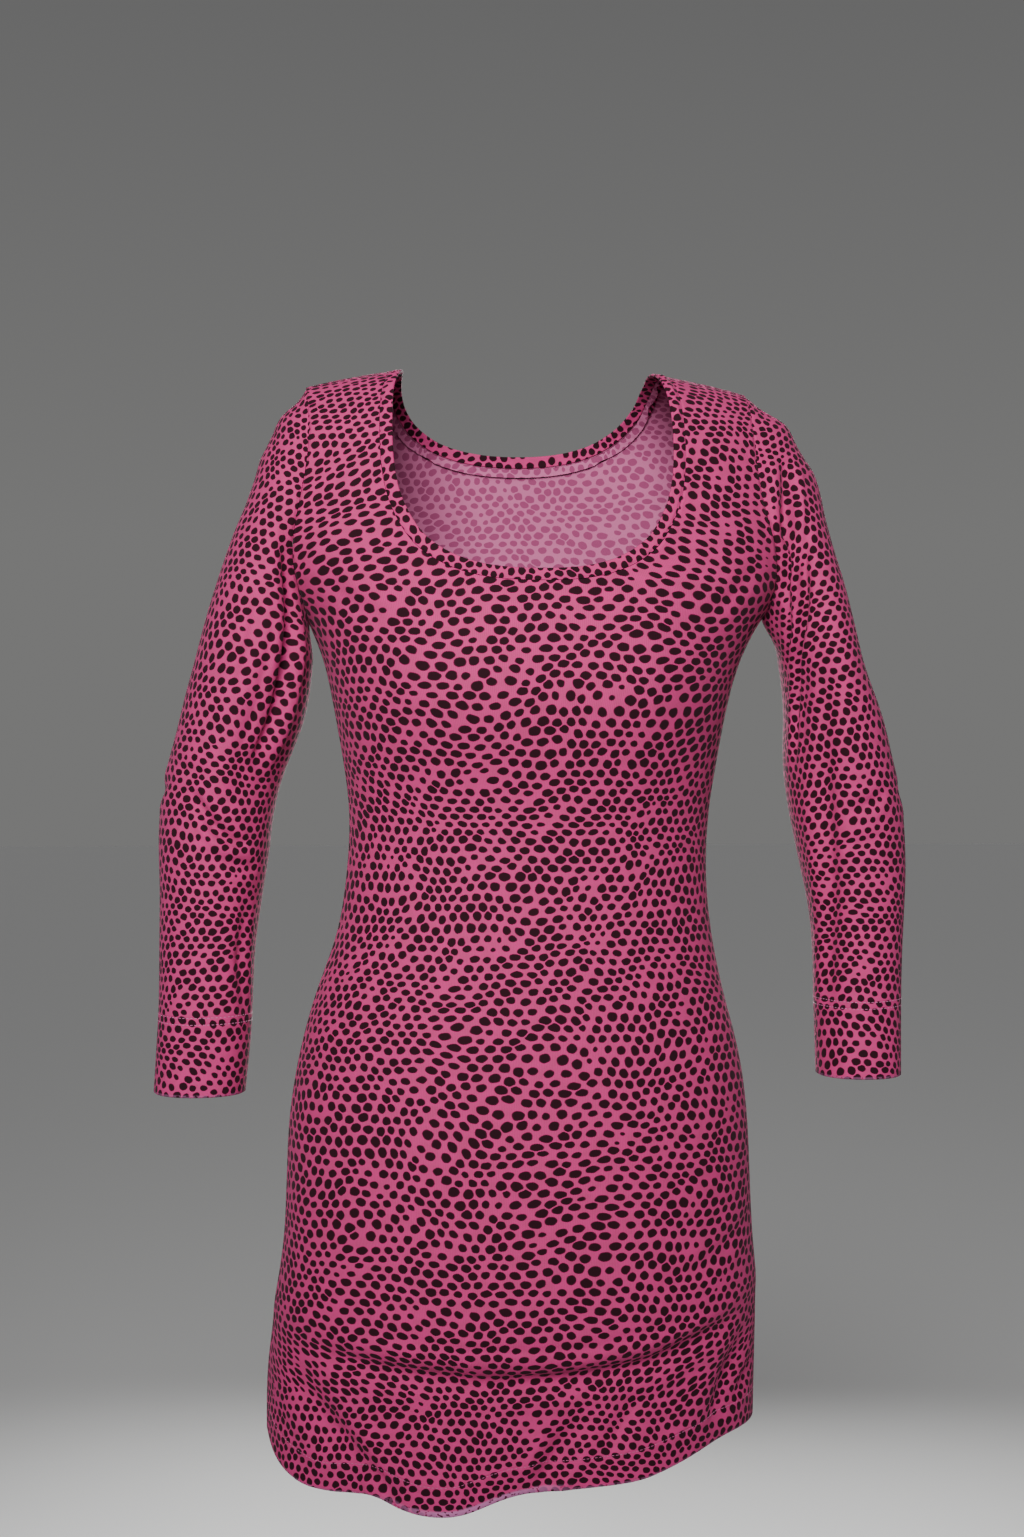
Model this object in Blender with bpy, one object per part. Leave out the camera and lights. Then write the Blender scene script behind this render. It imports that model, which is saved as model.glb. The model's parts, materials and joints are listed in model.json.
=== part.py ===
"""Long-sleeved sheath dress of printed stretch jersey, in its worn, hollow shape.

Five pieces of cloth are built as thin closed walls: the front, the back, two set-in sleeves and the neck
binding. The front faces -Y and +Z is up. The origin lies midway between the shoulder seams, at the height
of the worn shoulder. The tables below are in millimetres; what they give is turned to metres in one place.
"""
import math
from collections import namedtuple

import bmesh
import bpy
from mathutils import Vector

MM = 0.001

# Cloth and sewing, in millimetres.
WALL = 1.5
HEM_WALL = 2.3
SEAM_GAP = 0.3
HEM_TURN = 20.0
CUFF_TURN = 56.0
BINDING_WIDTH = 8.5
BINDING_LIFT = 0.4
BINDING_WALL = 2.4

# Mesh: columns across a panel, with those of one shoulder strap, rows up an armhole, with those that lie
# below the neck's lower arc, heights of the rows above the hem, rows from there to the skirt's fold, rows
# across that fold, and rows of the trunk and of a sleeve.
COLUMNS = 28
STRAP_COLUMNS = 5
ARMHOLE_ROWS = 11
YOKE_ROWS = 4
HEM_ROWS = (0.0, 9.0, 20.0)
SKIRT_ROWS = 4
FOLD_ROWS = 3
TRUNK_ROWS = 22
CAP_ROWS = 8
SLEEVE_ROWS = 20
CURVE_STEPS = 120
SHARP_ANGLE = 40.0

# Level sections of the trunk. left and right are where the section would close at the sides, front and
# back how deep it is at the middle, squareness the power of its curve, 2 being an ellipse.
Section = namedtuple("Section", "height middle left right front back squareness")
TRUNK = (
    Section(-815, -8, -192, 170, 112, 112, 2.15),
    Section(-767, -8, -193, 171, 113, 113, 2.15),
    Section(-722, -7, -192, 172, 114, 116, 2.20),
    Section(-677, -5, -186, 173, 113, 118, 2.20),
    Section(-632, -5, -179, 169, 111, 120, 2.20),
    Section(-587, -5, -177, 167, 109, 121, 2.20),
    Section(-542, -5, -175, 165, 107, 119, 2.20),
    Section(-497, -4, -168, 159, 104, 113, 2.20),
    Section(-452, -4, -156, 147, 99, 101, 2.15),
    Section(-408, -2, -140, 138, 94, 88, 2.10),
    Section(-363, 0, -133, 134, 91, 80, 2.10),
    Section(-318, 2, -131, 136, 95, 80, 2.15),
    Section(-273, 3, -137, 143, 108, 87, 2.30),
    Section(-240, 4, -143, 149, 118, 92, 2.40),
    Section(-206, 4, -150, 159, 119, 96, 2.40),
    Section(-185, 3, -159, 170, 116, 98, 2.30),
    Section(-168, 2, -169, 181, 112, 99, 2.25),
    Section(-150, 1, -182, 190, 107, 99, 2.20),
    Section(-120, 0, -194, 197, 99, 98, 2.20),
    Section(-90, 0, -194, 194, 92, 96, 2.20),
    Section(-60, 0, -190, 190, 85, 93, 2.20),
    Section(-30, 0, -186, 186, 79, 90, 2.20),
    Section(10, 0, -184, 184, 73, 85, 2.20),
)

# Seam line of each armhole seen from the front, as its distance from the middle line.
Armhole = namedtuple("Armhole", "height left right")
ARMHOLES = (
    Armhole(-185, 159, 174),
    Armhole(-177, 162, 177),
    Armhole(-160, 168, 180),
    Armhole(-148, 172, 181),
    Armhole(-135, 174, 180),
    Armhole(-120, 173, 176),
    Armhole(-100, 169, 169),
    Armhole(-80, 165, 165),
    Armhole(-60, 162, 163),
    Armhole(-40, 161, 162),
    Armhole(-8, 163, 163),
)
UNDERARM = {-1: -185.0, 1: -177.0}
ARMHOLE_CENTRE = -94.0

# Shoulder line, rounded over from the front to the back.
SHOULDER_END = 163.0
SHOULDER_END_HEIGHT = -8.0
SHOULDER_SLOPE = 0.212
SHOULDER_ROUND = 55.0

# Finished edge of the scoop neck. The lower part is a superellipse; above it the edge runs up to the
# shoulder. The back neck is a shallower curve between the same shoulder points.
NECK_MIDDLE = -3.0
NECK_HALF_WIDTH = 101.0
NECK_WIDEST_HEIGHT = -55.0
NECK_DEPTH = 93.0
NECK_SQUARENESS = 2.6
NECK_POINT = 92.0
NECK_WIDEST_TURN = 45.0
BACK_NECK_DROP = 52.0
BACK_NECK_SQUARENESS = 2.3

# Where the straps begin: the turn along each neck edge at which the lower arc ends, and how far the foot
# of a strap spreads and drops from there. Between the straps the line sags a little.
STRAP_TURN = {-1: 64.0, 1: 50.0}
STRAP_SPREAD = 1.04
STRAP_DROP = 6.0
CHEST_SAG = 9.0

# Stretch of the cloth over the bust: two soft rises on the front.
BUST_RISE = 6.0
BUST_APART = 82.0
BUST_HEIGHT = -236.0
BUST_SPREAD = 52.0

# Line where the skirt leaves the figure, which rises towards each side, how far the cloth turns in below
# it at the middle and at the sides, and how far it swings out again down to the hem.
SKIRT_LINE = -695.0
SKIRT_LINE_RISE = {-1: 18.0, 1: 36.0}
SKIRT_STEP = 13.0
SKIRT_STEP_AT_SIDE = 1.5
SKIRT_STEP_HEIGHT = 18.0
HEM_FLARE = 7.0
HEM_FLARE_DROP = 45.0
HEM_FLARE_HEIGHT = 45.0

# Height of the hem round each panel, by the angle from its middle.
Hem = namedtuple("Hem", "angle front back")
HEM = (
    Hem(-90, -768, -767),
    Hem(-75, -783, -769),
    Hem(-60, -794, -774),
    Hem(-48, -797, -777),
    Hem(-38, -791, -775),
    Hem(-27, -802, -776),
    Hem(-15, -804, -781),
    Hem(-4, -793, -783),
    Hem(10, -788, -780),
    Hem(25, -784, -776),
    Hem(42, -774, -777),
    Hem(60, -766, -774),
    Hem(75, -764, -768),
    Hem(90, -763, -763),
)

# Folds of the trunk: from one place to another, by angle and height, with their depth in at each end.
# A depth below nought is a ridge.
Fold = namedtuple("Fold", "side angle height to_angle to_height depth to_depth half_width")
DEGREE_WIDTH = 2.6
TRUNK_FOLDS = (
    Fold(-1, -76, -730, -40, -812, 0.0, 9.0, 14.0),
    Fold(-1, 10, -740, -3, -812, 0.0, 8.0, 14.0),
    Fold(-1, 70, -690, 50, -790, 1.0, 8.0, 14.0),
    Fold(-1, -20, -725, -20, -812, 0.0, -6.0, 26.0),
    Fold(-1, 24, -725, 24, -800, 0.0, -5.0, 26.0),
    Fold(-1, -64, -745, -60, -812, 0.0, -4.0, 20.0),
    Fold(1, -52, -715, -44, -800, 0.0, 6.0, 15.0),
    Fold(1, -8, -730, -4, -800, 0.0, -6.0, 26.0),
    Fold(1, 26, -720, 20, -800, 0.0, 6.0, 15.0),
    Fold(1, 55, -725, 52, -800, 0.0, -5.0, 24.0),
    Fold(1, -62, -382, 50, -372, 0.0, 2.0, 15.0),
    Fold(1, -40, -335, 62, -342, 2.0, 0.5, 14.0),
)

# Level rings of each sleeve below the underarm: distance of its inner and outer side from the middle
# line, place of its axis along Y, and half its depth from front to back.
Ring = namedtuple("Ring", "height inner outer axis half_depth")
SLEEVE_RINGS = {
    -1: (
        Ring(-208, 157, 244, 0, 59),
        Ring(-237, 160, 252, 1, 58),
        Ring(-263, 167, 258, 2, 57),
        Ring(-284, 176, 264, 3, 56),
        Ring(-306, 183, 268, 2, 55),
        Ring(-328, 187, 270, 0, 53),
        Ring(-350, 189, 270, -3, 50),
        Ring(-372, 193, 269, -6, 47),
        Ring(-393, 196, 269, -10, 44),
        Ring(-414, 199, 269, -14, 41),
        Ring(-457, 201, 269, -22, 38),
        Ring(-478, 202, 270, -26, 37),
        Ring(-517, 206, 272, -33, 36),
    ),
    1: (
        Ring(-208, 192, 250, 0, 61),
        Ring(-228, 195, 258, 1, 60),
        Ring(-250, 196, 267, 2, 59),
        Ring(-273, 195, 273, 3, 58),
        Ring(-296, 196, 279, 3, 56),
        Ring(-318, 199, 283, 2, 54),
        Ring(-341, 203, 284, 0, 51),
        Ring(-363, 207, 284, -3, 48),
        Ring(-386, 211, 282, -7, 45),
        Ring(-408, 213, 280, -11, 42),
        Ring(-430, 213, 278, -15, 40),
        Ring(-463, 212, 276, -21, 38),
        Ring(-511, 211, 273, -32, 36),
    ),
}
CAP_LENGTH = 200.0
RING_SQUARENESS = 2.15

# How the cloth leaves the armhole seam, as shares of the way to the first ring: outwards and down over
# the shoulder, at the front and back, and at the underarm.
Leave = namedtuple("Leave", "over_out over_down side_out side_down under_down")
CAP_LEAVE = {-1: Leave(0.34, 0.30, 0.50, 0.50, 0.60), 1: Leave(0.66, 0.10, 0.70, 0.45, 0.60)}
CAP_ARRIVE_OUT = 0.18
CAP_ARRIVE_DOWN = 0.85

# Folds of the sleeves: by the way along the sleeve from the armhole and the angle round it, which is 0
# on the side of the trunk, 90 in front and 180 outside.
SLEEVE_FOLD_RADIUS = 46.0
FOLD_START_ROWS = 2.0
SLEEVE_FOLDS = (
    Fold(-1, 62, 120, 50, 285, 1.0, 5.0, 12.0),
    Fold(-1, 128, 292, 84, 322, 3.5, 1.5, 10.0),
    Fold(-1, 40, 280, 62, 352, 4.0, 0.5, 12.0),
    Fold(-1, 300, 120, 318, 290, 2.0, 4.0, 13.0),
    Fold(-1, 236, 300, 286, 330, 3.0, 2.0, 11.0),
    Fold(1, 112, 34, 52, 120, 4.0, 3.0, 11.0),
    Fold(1, 86, 70, 66, 205, 3.0, 2.0, 11.0),
    Fold(1, 24, 185, 34, 300, 4.0, 3.0, 11.0),
    Fold(1, 58, 280, 36, 480, 3.5, 1.0, 12.0),
    Fold(1, 250, 60, 300, 210, 3.0, 3.0, 13.0),
    Fold(1, 230, 305, 285, 345, 3.0, 1.5, 12.0),
)

# sRGB colours of the jersey and of its binding, seen as one plain tone.
JERSEY_PINK = (0.74, 0.30, 0.48)
BINDING_PINK = (0.76, 0.33, 0.51)
CLOTH_ROUGHNESS = 0.85


def clear_scene():
    for old in list(bpy.data.objects):
        bpy.data.objects.remove(old, do_unlink=True)


def linear(colour):
    return tuple(part / 12.92 if part < 0.04045 else ((part + 0.055) / 1.055) ** 2.4 for part in colour)


def cloth_material(name, colour):
    material = bpy.data.materials.new(name)
    material.use_nodes = True
    shader = material.node_tree.nodes["Principled BSDF"]
    shader.inputs["Base Color"].default_value = (*linear(colour), 1.0)
    shader.inputs["Roughness"].default_value = CLOTH_ROUGHNESS
    shader.inputs["Metallic"].default_value = 0.0
    return material


def smooth_value(table, key, column, at):
    """Value of a table's column at a place between its rows, on a curve through the rows."""
    rows = sorted(table, key=lambda row: getattr(row, key))
    keys = [getattr(row, key) for row in rows]
    values = [getattr(row, column) for row in rows]
    last = len(rows) - 1
    at = min(max(at, keys[0]), keys[last])
    low = max(index for index in range(last) if keys[index] <= at)

    def slope(index):
        before = max(index - 1, 0)
        after = min(index + 1, last)
        return (values[after] - values[before]) / (keys[after] - keys[before])

    span = keys[low + 1] - keys[low]
    share = (at - keys[low]) / span
    rise = values[low + 1] - values[low]
    start = slope(low) * span
    end = slope(low + 1) * span
    bend = 3 * rise - 2 * start - end
    twist = start + end - 2 * rise
    return values[low] + share * (start + share * (bend + share * twist))


def ease(share):
    share = min(max(share, 0.0), 1.0)
    return share * share * (3.0 - 2.0 * share)


def mix(first, second, share):
    return tuple(a + (b - a) * share for a, b in zip(first, second))


def power(value, exponent):
    return math.copysign(abs(value) ** exponent, value)


def fold_depth(folds, side, across, along, unit_width):
    """Depth of all folds of one side at a place, given by its angle across and its way along."""
    total = 0.0
    for fold in folds:
        if fold.side != side:
            continue
        run_across = (fold.to_angle - fold.angle) * unit_width
        run_along = fold.to_height - fold.height
        away_across = (across - fold.angle) * unit_width
        away_along = along - fold.height
        length_squared = run_across ** 2 + run_along ** 2
        share = min(max((away_across * run_across + away_along * run_along) / length_squared, 0.0), 1.0)
        away = (away_across - share * run_across) ** 2 + (away_along - share * run_along) ** 2
        depth = fold.depth + (fold.to_depth - fold.depth) * share
        total += depth * math.exp(-away / fold.half_width ** 2)
    return total


def shoulder_height(x):
    return SHOULDER_END_HEIGHT + SHOULDER_SLOPE * (SHOULDER_END - abs(x))


def reach(angle, height):
    """Distance from the middle of the section to where it closes on the side of the angle."""
    middle = smooth_value(TRUNK, "height", "middle", height)
    if angle < 0:
        return middle - smooth_value(TRUNK, "height", "left", height)
    return smooth_value(TRUNK, "height", "right", height) - middle


def trunk_angle(x, height):
    """Angle round a panel, -90 at the left seam to 90 at the right, of a place seen from the front."""
    middle = smooth_value(TRUNK, "height", "middle", height)
    squareness = smooth_value(TRUNK, "height", "squareness", height)
    share = min(abs(x - middle) / reach(x - middle, height), 1.0)
    return math.copysign(math.degrees(math.asin(share ** (squareness / 2.0))), x - middle)


def skirt_line(angle):
    """Height at which the skirt leaves the figure, at an angle round a panel."""
    rise = SKIRT_LINE_RISE[-1 if angle < 0 else 1]
    return SKIRT_LINE + rise * math.sin(math.radians(angle)) ** 2


def trunk_point(side, angle, height):
    """Outer cloth of the front (side -1) or the back (side 1), in millimetres."""
    squareness = smooth_value(TRUNK, "height", "squareness", height)
    middle = smooth_value(TRUNK, "height", "middle", height)
    depth = smooth_value(TRUNK, "height", "front" if side < 0 else "back", height)
    turn = math.radians(angle)
    wide = reach(angle, height)
    x = middle + wide * power(math.sin(turn), 2.0 / squareness)
    below_shoulder = min(max((shoulder_height(x) - height) / SHOULDER_ROUND, 0.0), 1.0)
    rounding = math.sqrt(1.0 - (1.0 - below_shoulder) ** 2)
    y = depth * math.cos(turn) * rounding
    if side < 0:
        for place in (middle - BUST_APART, middle + BUST_APART):
            away = ((x - place) ** 2 + (height - BUST_HEIGHT) ** 2) / BUST_SPREAD ** 2
            y += BUST_RISE * math.exp(-away)
    below_line = skirt_line(angle) - height
    step = SKIRT_STEP_AT_SIDE + (SKIRT_STEP - SKIRT_STEP_AT_SIDE) * math.cos(turn) ** 2
    inward = step * ease(below_line / SKIRT_STEP_HEIGHT)
    inward -= HEM_FLARE * math.cos(turn) ** 2 * ease((below_line - HEM_FLARE_DROP) / HEM_FLARE_HEIGHT)
    inward += fold_depth(TRUNK_FOLDS, side, angle, height, DEGREE_WIDTH)
    out_x = math.sin(turn) / wide
    out_y = math.cos(turn) / depth
    scale = inward / math.hypot(out_x, out_y)
    return (x - scale * out_x, side * (y - scale * out_y * rounding), height)


def neck_edge(side, turn, widen):
    """Place (x, height) on the neck edge: turn 0 is the left shoulder, 180 the right one."""
    if side > 0:
        wide = NECK_POINT + widen
        drop = BACK_NECK_DROP + widen
        angle = math.radians(turn)
        x = -wide * power(math.cos(angle), 2.0 / BACK_NECK_SQUARENESS)
        height = shoulder_height(wide) - drop * power(math.sin(angle), 2.0 / BACK_NECK_SQUARENESS)
        return x, height
    half_width = NECK_HALF_WIDTH + widen
    from_side = min(turn, 180.0 - turn)
    sign = -1.0 if turn < 90.0 else 1.0
    if from_side >= NECK_WIDEST_TURN:
        lower = math.radians((from_side - NECK_WIDEST_TURN) * 90.0 / (90.0 - NECK_WIDEST_TURN))
        x = NECK_MIDDLE + sign * half_width * power(math.cos(lower), 2.0 / NECK_SQUARENESS)
        height = NECK_WIDEST_HEIGHT - (NECK_DEPTH + widen) * power(math.sin(lower), 2.0 / NECK_SQUARENESS)
        return x, height
    share = 1.0 - from_side / NECK_WIDEST_TURN
    end = NECK_POINT + widen
    x = (NECK_MIDDLE + sign * half_width) * (1.0 - share ** 4) + sign * end * share ** 4
    height = NECK_WIDEST_HEIGHT + (shoulder_height(end) - NECK_WIDEST_HEIGHT) * share
    return x, height


def evenly(points, count, locate):
    """Keys along a dense list, cut into equal lengths of the cloth that locate gives."""
    placed = [locate(*point) for point in points]
    ways = [0.0]
    for first, second in zip(placed, placed[1:]):
        ways.append(ways[-1] + math.dist(first, second))
    result = []
    index = 0
    for step in range(count + 1):
        target = ways[-1] * step / count
        while index < len(ways) - 2 and ways[index + 1] < target:
            index += 1
        share = (target - ways[index]) / (ways[index + 1] - ways[index])
        result.append(mix(points[index], points[index + 1], min(max(share, 0.0), 1.0)))
    return result


def armhole_line(panel, flank):
    """(angle, height) from the underarm up to the shoulder end, evenly spaced."""
    dense = []
    low = UNDERARM[flank]
    for step in range(CURVE_STEPS + 1):
        height = low + (SHOULDER_END_HEIGHT - low) * (1.0 - math.cos(math.pi * step / CURVE_STEPS)) / 2.0
        x = flank * smooth_value(ARMHOLES, "height", "left" if flank < 0 else "right", height)
        dense.append((trunk_angle(x, height), height))
    dense[0] = (90.0 * flank, low)
    return evenly(dense, ARMHOLE_ROWS, lambda angle, height: trunk_point(panel, angle, height))


def neck_line(panel, first, last, count):
    """(angle, height, turn) along the panel's own neck edge, which lies a binding's width further out."""
    dense = []
    for step in range(CURVE_STEPS + 1):
        turn = first + (last - first) * step / CURVE_STEPS
        x, height = neck_edge(panel, turn, BINDING_WIDTH)
        dense.append((trunk_angle(x, height), height, turn))
    return evenly(dense, count, lambda angle, height, turn: trunk_point(panel, angle, height))


def chest_line(panel, flank):
    """(angle, height) of the strap's foot, from the armhole in to the strap's inner column."""
    turn = STRAP_TURN[panel] if flank < 0 else 180.0 - STRAP_TURN[panel]
    x, _ = neck_edge(panel, turn, BINDING_WIDTH)
    start = (90.0 * flank, UNDERARM[flank])
    foot = (trunk_angle(x * STRAP_SPREAD, UNDERARM[flank]), UNDERARM[flank] - STRAP_DROP)
    return [mix(start, foot, step / STRAP_COLUMNS) for step in range(STRAP_COLUMNS + 1)]


def column_heights(panel, angle, top):
    """Heights of the nodes of one column from the hem to the top, close together at the skirt's fold."""
    hem = smooth_value(HEM, "angle", "front" if panel < 0 else "back", angle)
    heights = [hem + rise for rise in HEM_ROWS]
    line = skirt_line(angle)
    stretches = (
        (line - SKIRT_STEP_HEIGHT, SKIRT_ROWS),
        (line + SKIRT_STEP_HEIGHT / 2.0, FOLD_ROWS),
        (top, TRUNK_ROWS),
    )
    for end, count in stretches:
        start = heights[-1]
        heights += [start + (end - start) * (step + 1) / count for step in range(count)]
    return heights


def panel_grid(panel):
    """Grid of (angle, height) nodes, hem first. Nodes above the neck's lower arc are left out as None."""
    inner = (STRAP_COLUMNS, COLUMNS - STRAP_COLUMNS)
    chest = [None] * (COLUMNS + 1)
    left = chest_line(panel, -1)
    right = chest_line(panel, 1)
    for step in range(STRAP_COLUMNS + 1):
        chest[step] = left[step]
        chest[COLUMNS - step] = right[step]
    between = inner[1] - inner[0]
    for step in range(1, between):
        share = step / between
        angle, height = mix(left[-1], right[-1], share)
        chest[inner[0] + step] = (angle, height - CHEST_SAG * math.sin(math.pi * share))

    columns = [column_heights(panel, angle, top) for angle, top in chest]
    grid = []
    for row in range(len(columns[0])):
        grid.append([(chest[column][0], heights[row]) for column, heights in enumerate(columns)])
    grid[-1] = list(chest)

    side_turn = STRAP_TURN[panel]
    sides = ARMHOLE_ROWS - YOKE_ROWS
    necks = {
        -1: neck_line(panel, side_turn, 0.0, sides),
        1: neck_line(panel, 180.0 - side_turn, 180.0, sides),
    }
    arc = neck_line(panel, side_turn, 180.0 - side_turn, between)
    armholes = {flank: armhole_line(panel, flank) for flank in (-1, 1)}
    for row in range(1, ARMHOLE_ROWS + 1):
        line = [None] * (COLUMNS + 1)
        for flank in (-1, 1):
            if row <= YOKE_ROWS:
                foot = (left if flank < 0 else right)[-1]
                inner_node = mix(foot, necks[flank][0][:2], row / YOKE_ROWS)
            else:
                inner_node = necks[flank][row - YOKE_ROWS][:2]
            for step in range(STRAP_COLUMNS + 1):
                node = mix(armholes[flank][row], inner_node, step / STRAP_COLUMNS)
                line[step if flank < 0 else COLUMNS - step] = node
        if row <= YOKE_ROWS:
            for step in range(1, between):
                foot = chest[inner[0] + step]
                line[inner[0] + step] = mix(foot, arc[step][:2], row / YOKE_ROWS)
        grid.append(line)
    turns = {
        "left": [node[2] for node in necks[-1]],
        "arc": [node[2] for node in arc],
        "right": [node[2] for node in necks[1]],
    }
    return grid, turns


def wall_inside(outer, faces, thickness, directions):
    """Inner points of a wall: each outer point moved in along its normal or along a given direction."""
    normals = {key: Vector() for key in outer}
    for face in faces:
        a, b, c, d = (Vector(outer[key]) for key in face)
        normal = (c - a).cross(d - b).normalized()
        for key in face:
            normals[key] += normal
    inner = {}
    for key, point in outer.items():
        inward = -normals[key].normalized()
        if key in directions:
            inward = directions[key](Vector(point), inward)
        inner[key] = Vector(point) + inward * thickness(key)
    return inner


def closed_wall(name, outer, inner, faces, material):
    """Object whose faces are the outer cloth, the inner cloth and the rims that join their free edges."""
    mesh = bmesh.new()
    out = {key: mesh.verts.new(tuple(part * MM for part in outer[key])) for key in outer}
    ins = {key: mesh.verts.new(tuple(part * MM for part in inner[key])) for key in inner}
    edges = {}
    for face in faces:
        mesh.faces.new([out[key] for key in face])
        mesh.faces.new([ins[key] for key in reversed(face)])
        for first, second in zip(face, face[1:] + face[:1]):
            pair = (second, first)
            if pair in edges:
                del edges[pair]
            else:
                edges[(first, second)] = True
    for first, second in edges:
        mesh.faces.new((out[second], out[first], ins[first], ins[second]))
    for face in mesh.faces:
        face.smooth = True
    data = bpy.data.meshes.new(name)
    mesh.to_mesh(data)
    mesh.free()
    data.materials.append(material)
    data.set_sharp_from_angle(angle=math.radians(SHARP_ANGLE))
    piece = bpy.data.objects.new(name, data)
    bpy.context.scene.collection.objects.link(piece)
    return piece


def towards_armhole_centre(point, inward):
    return Vector((0.0, -point.y, ARMHOLE_CENTRE - point.z)).normalized()


def level_with_seam(point, inward):
    return Vector((inward.x, 0.0, inward.z)).normalized()


def build_panel(name, panel, material):
    """Front or back panel. Gives back the outer and inner points of its nodes and its neck's turns."""
    grid, turns = panel_grid(panel)
    rows = len(grid)
    chest_row = rows - 1 - ARMHOLE_ROWS
    outer = {}
    directions = {}
    for row, line in enumerate(grid):
        for column, node in enumerate(line):
            if node is None:
                continue
            x, y, z = trunk_point(panel, *node)
            at_side = column in (0, COLUMNS)
            if at_side and row >= chest_row:
                x -= math.copysign(SEAM_GAP / 2.0, x)
                directions[(row, column)] = towards_armhole_centre
            elif at_side or row == rows - 1:
                directions[(row, column)] = level_with_seam
            if (at_side and row <= chest_row) or row == rows - 1:
                y = panel * SEAM_GAP / 2.0
            outer[(row, column)] = (x, y, z)
    faces = []
    for row in range(rows - 1):
        for column in range(COLUMNS):
            face = ((row, column), (row, column + 1), (row + 1, column + 1), (row + 1, column))
            if all(key in outer for key in face):
                faces.append(face if panel < 0 else face[::-1])
    hem_edge = HEM_ROWS.index(HEM_TURN)

    def thickness(key):
        return HEM_WALL if key[0] <= hem_edge else WALL

    inner = wall_inside(outer, faces, thickness, directions)
    closed_wall(name, outer, inner, faces, material)
    return outer, inner, turns, chest_row


def sleeve_ring(flank, turn, height):
    """Point of a level ring below the underarm."""
    table = SLEEVE_RINGS[flank]
    inner = smooth_value(table, "height", "inner", height)
    outer = smooth_value(table, "height", "outer", height)
    axis = smooth_value(table, "height", "axis", height)
    half_depth = smooth_value(table, "height", "half_depth", height)
    angle = math.radians(turn)
    across = (inner + outer) / 2.0 - (outer - inner) / 2.0 * power(math.cos(angle), 2.0 / RING_SQUARENESS)
    return flank * across, axis - half_depth * power(math.sin(angle), 2.0 / RING_SQUARENESS), height


def cap_point(flank, seam, turn, share):
    """Point of the sleeve cap on its way from the armhole seam to the first level ring."""
    leave = CAP_LEAVE[flank]
    top = SLEEVE_RINGS[flank][0].height
    ring = sleeve_ring(flank, turn, top)
    length = math.dist(seam, ring)
    over = max(-math.cos(math.radians(turn)), 0.0)
    under = max(math.cos(math.radians(turn)), 0.0)
    beside = abs(math.sin(math.radians(turn)))
    whole = over + under + beside
    out = (over * leave.over_out + beside * leave.side_out) / whole
    down = (over * leave.over_down + beside * leave.side_down + under * leave.under_down) / whole
    start = (flank * out * length, 0.0, -down * length)
    end = (flank * CAP_ARRIVE_OUT * (1.0 - under) * length, 0.0, -CAP_ARRIVE_DOWN * length)
    square = share * share
    cube = square * share
    weights = (2 * cube - 3 * square + 1, cube - 2 * square + share, 3 * square - 2 * cube, cube - square)
    return tuple(
        weights[0] * seam[axis] + weights[1] * start[axis] + weights[2] * ring[axis] + weights[3] * end[axis]
        for axis in range(3)
    )


def sleeve_point(flank, seam, turn, row):
    """Outer cloth of a sleeve in one row of rings, folds and all."""
    table = SLEEVE_RINGS[flank]
    top = table[0].height
    bottom = table[-1].height
    if row <= CAP_ROWS:
        share = row / CAP_ROWS
        way = CAP_LENGTH * share
        point = cap_point(flank, seam, turn, share)
    else:
        way_down = (top - bottom) * (row - CAP_ROWS) / SLEEVE_ROWS
        way = CAP_LENGTH + way_down
        point = sleeve_ring(flank, turn, top - way_down)
    inward = fold_depth(SLEEVE_FOLDS, flank, turn, way, math.radians(SLEEVE_FOLD_RADIUS))
    inward *= ease(row / FOLD_START_ROWS)
    angle = math.radians(turn)
    return (
        point[0] + flank * inward * math.cos(angle),
        point[1] + inward * math.sin(angle),
        point[2],
    )


def build_sleeve(name, flank, front, back, chest_row, material):
    """Sleeve whose first ring follows the nodes of both panels' armhole edges."""
    around = 2 * ARMHOLE_ROWS
    column = 0 if flank < 0 else COLUMNS
    seams = []
    for step in range(around):
        if step <= ARMHOLE_ROWS:
            point = front[(chest_row + step, column)]
        else:
            point = back[(chest_row + around - step, column)]
        flat = 0.0 if step in (0, ARMHOLE_ROWS) else point[1]
        seams.append((point[0] + flank * SEAM_GAP, flat, point[2]))
    outer = {}
    directions = {}
    last = CAP_ROWS + SLEEVE_ROWS
    for row in range(last + 1):
        for step in range(around):
            turn = 360.0 * step / around
            outer[(row, step)] = seams[step] if row == 0 else sleeve_point(flank, seams[step], turn, row)
            if row == 0:
                directions[(row, step)] = towards_armhole_centre
    faces = []
    for row in range(last):
        for step in range(around):
            after = (step + 1) % around
            face = ((row, step), (row, after), (row + 1, after), (row + 1, step))
            faces.append(face[::-1] if flank > 0 else face)
    height = SLEEVE_RINGS[flank][0].height - SLEEVE_RINGS[flank][-1].height
    cuff_edge = last - round(CUFF_TURN / (height / SLEEVE_ROWS))

    def thickness(key):
        return HEM_WALL if key[0] >= cuff_edge else WALL

    inner = wall_inside(outer, faces, thickness, directions)
    closed_wall(name, outer, inner, faces, material)


def neck_nodes(outer, inner, turns, chest_row):
    """Neck edge of a panel from the left shoulder to the right: outer point, inner point and turn."""
    left = STRAP_COLUMNS
    right = COLUMNS - STRAP_COLUMNS
    arc_row = chest_row + YOKE_ROWS
    nodes = []
    for step in reversed(range(1, len(turns["left"]))):
        nodes.append(((arc_row + step, left), turns["left"][step]))
    for step, turn in enumerate(turns["arc"]):
        nodes.append(((arc_row, left + step), turn))
    for step in range(1, len(turns["right"])):
        nodes.append(((arc_row + step, right), turns["right"][step]))
    return [(outer[key], inner[key], turn) for key, turn in nodes]


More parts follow.
